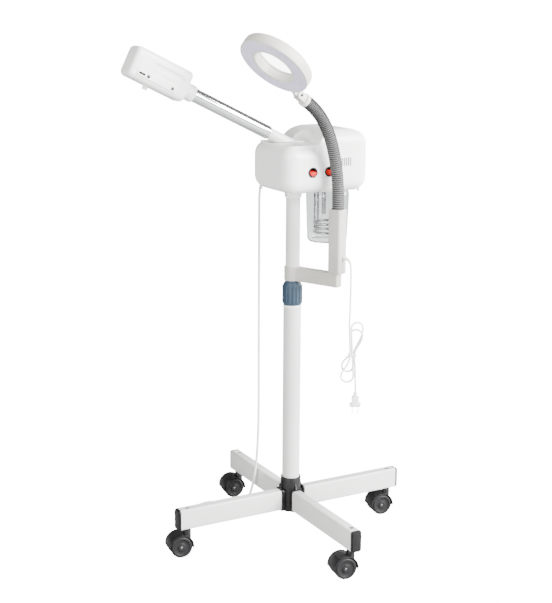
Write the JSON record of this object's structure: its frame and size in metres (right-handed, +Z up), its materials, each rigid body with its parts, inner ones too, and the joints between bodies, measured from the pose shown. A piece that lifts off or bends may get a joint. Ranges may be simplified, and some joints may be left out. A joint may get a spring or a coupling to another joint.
{
  "type": "facial steamer",
  "caption": "Standing facial steamer: a housing with a glass water jar, a sloping steam arm with a nozzle head and a ring magnifier lamp on a gooseneck, on a telescoping column with casters.",
  "frame": {"origin": "on the floor, on the axis of the column", "axes": "+Z up along the column; the switches of the housing face -Y; the steam arm leaves towards -X"},
  "size_m": [0.683, 0.5826, 1.149],
  "materials": {
    "white_enamel": "gloss",
    "black_plastic": "satin",
    "black_tread": "matte",
    "zinc_steel": "satin",
    "nut_plastic": "satin",
    "shell_plastic": "gloss",
    "red_plastic": "gloss",
    "board_green": "matte",
    "silicone": "matte",
    "stainless": "polished",
    "jar_glass": "clear",
    "chrome_tube": "polished",
    "lamp_plastic": "satin",
    "gooseneck_steel": "satin",
    "ring_plastic": "satin",
    "diffuser": "frosted",
    "led_white": "matte",
    "lens_glass": "clear",
    "cord_pvc": "satin",
    "plug_brass": "polished"
  },
  "bodies": {
    "base": {"hub": "black_plastic", "leg_right": "white_enamel", "leg_back": "white_enamel", "leg_left": "white_enamel", "leg_front": "white_enamel", "leg_caps": "black_plastic", "base_screws": "zinc_steel", "lower_column": "white_enamel", "column_collar": "shell_plastic", "collet": "black_plastic", "steam_cord": "cord_pvc", "steam_coil": "cord_pvc", "steam_plug": "cord_pvc", "steam_prongs": "plug_brass"},
    "nut": {"clamp_nut": "nut_plastic"},
    "mast": {"upper_column": "white_enamel", "column_socket": "shell_plastic", "housing_base": "shell_plastic", "housing_shell": "shell_plastic", "housing_screws": "zinc_steel", "switch_bezels": "black_plastic", "control_board": "board_green", "steam_duct": "silicone", "heater": "stainless", "cord_gland": "shell_plastic"},
    "rocker_a": {"rocker_left": "red_plastic"},
    "rocker_b": {"rocker_right": "red_plastic"},
    "jar_body": {"jar": "jar_glass"},
    "collar": {"jar_collar": "shell_plastic"},
    "steam_arm": {"arm_turret": "shell_plastic", "arm_tube": "chrome_tube"},
    "nozzle": {"nozzle_body": "shell_plastic", "nozzle_cap": "shell_plastic", "nozzle_screws": "zinc_steel"},
    "lever": {"nozzle_lever": "shell_plastic"},
    "bracket": {"lamp_bracket": "lamp_plastic", "lamp_post": "lamp_plastic", "gooseneck": "gooseneck_steel", "lamp_cord": "cord_pvc", "lamp_hank": "cord_pvc", "lamp_plug": "cord_pvc", "lamp_prongs": "plug_brass"},
    "neck": {"lamp_neck": "lamp_plastic", "neck_screw": "zinc_steel"},
    "ring": {"ring_shell": "ring_plastic", "ring_diffuser": "diffuser", "led_board": "led_white", "ring_lens": "lens_glass"},
    "fork_right": {"caster_right_hood": "black_plastic", "caster_right_pins": "zinc_steel"},
    "wheels_right": {"caster_right_wheels": "black_tread"},
    "fork_back": {"caster_back_hood": "black_plastic", "caster_back_pins": "zinc_steel"},
    "wheels_back": {"caster_back_wheels": "black_tread"},
    "fork_left": {"caster_left_hood": "black_plastic", "caster_left_pins": "zinc_steel"},
    "wheels_left": {"caster_left_wheels": "black_tread"},
    "fork_front": {"caster_front_hood": "black_plastic", "caster_front_pins": "zinc_steel"},
    "wheels_front": {"caster_front_wheels": "black_tread"}
  },
  "joints": [
    {"name": "swivel_right", "type": "hinge", "parent": "base", "child": "fork_right", "pos_m": [0.265, 0, 0.07], "axis": [0, 0, 1], "continuous": true},
    {"name": "roll_right", "type": "hinge", "parent": "fork_right", "child": "wheels_right", "pos_m": [0.24767, 0.00244, 0.025], "axis": [0.1392, 0.9903, 0], "continuous": true},
    {"name": "swivel_back", "type": "hinge", "parent": "base", "child": "fork_back", "pos_m": [0, 0.265, 0.07], "axis": [0, 0, 1], "continuous": true},
    {"name": "roll_back", "type": "hinge", "parent": "fork_back", "child": "wheels_back", "pos_m": [-0.01733, 0.26744, 0.025], "axis": [0.1392, 0.9903, 0], "continuous": true},
    {"name": "swivel_left", "type": "hinge", "parent": "base", "child": "fork_left", "pos_m": [-0.265, 0, 0.07], "axis": [0, 0, 1], "continuous": true},
    {"name": "roll_left", "type": "hinge", "parent": "fork_left", "child": "wheels_left", "pos_m": [-0.28233, 0.00244, 0.025], "axis": [0.1392, 0.9903, 0], "continuous": true},
    {"name": "swivel_front", "type": "hinge", "parent": "base", "child": "fork_front", "pos_m": [0, -0.265, 0.07], "axis": [0, 0, 1], "continuous": true},
    {"name": "roll_front", "type": "hinge", "parent": "fork_front", "child": "wheels_front", "pos_m": [-0.01733, -0.26256, 0.025], "axis": [0.1392, 0.9903, 0], "continuous": true},
    {"name": "nut_turn", "type": "hinge", "parent": "base", "child": "nut", "pos_m": [0, 0, 0.57], "axis": [0, 0, 1], "range_deg": [0, 180]},
    {"name": "mast_slide", "type": "slide", "parent": "base", "child": "mast", "axis": [0, 0, 1], "range_m": [0, 0.3], "deforming": ["steam_cord"]},
    {"name": "rocker_left_tilt", "type": "hinge", "parent": "mast", "child": "rocker_a", "pos_m": [0, -0.084, 0.853], "axis": [1, 0, 0], "range_deg": [-9, 9]},
    {"name": "rocker_right_tilt", "type": "hinge", "parent": "mast", "child": "rocker_b", "pos_m": [0.041, -0.084, 0.853], "axis": [1, 0, 0], "range_deg": [-9, 9]},
    {"name": "jar_drop", "type": "slide", "parent": "mast", "child": "jar_body", "axis": [0, 0, 1], "range_m": [-0.15, 0]},
    {"name": "collar_turn", "type": "hinge", "parent": "jar_body", "child": "collar", "pos_m": [0.088, 0, 0.818], "axis": [0, 0, 1], "range_deg": [0, 90]},
    {"name": "arm_swivel", "type": "hinge", "parent": "mast", "child": "steam_arm", "pos_m": [0, 0, 0.902], "axis": [0, 0, 1], "range_deg": [-45, 10]},
    {"name": "nozzle_turn", "type": "hinge", "parent": "steam_arm", "child": "nozzle", "pos_m": [-0.24897, 0, 1.02343], "axis": [-0.8988, 0, 0.4384], "range_deg": [-60, 60]},
    {"name": "lever_slide", "type": "slide", "parent": "nozzle", "child": "lever", "axis": [-0.8988, 0, 0.4384], "range_m": [0, 0.009]},
    {"name": "bracket_swivel", "type": "hinge", "parent": "mast", "child": "bracket", "pos_m": [0, 0, 0.616], "axis": [0, 0, 1], "range_deg": [-60, 3]},
    {"name": "gooseneck_bend", "type": "hinge", "parent": "bracket", "child": "neck", "pos_m": [0.03188, -0.11264, 0.905], "axis": [0.2419, -0.9703, 0], "range_deg": [-12, 12], "deforming": ["gooseneck"]},
    {"name": "ring_tilt", "type": "hinge", "parent": "neck", "child": "ring", "pos_m": [-0.06612, -0.13707, 1.0225], "axis": [0.2419, -0.9703, 0], "range_deg": [-25, 20]}
  ]
}
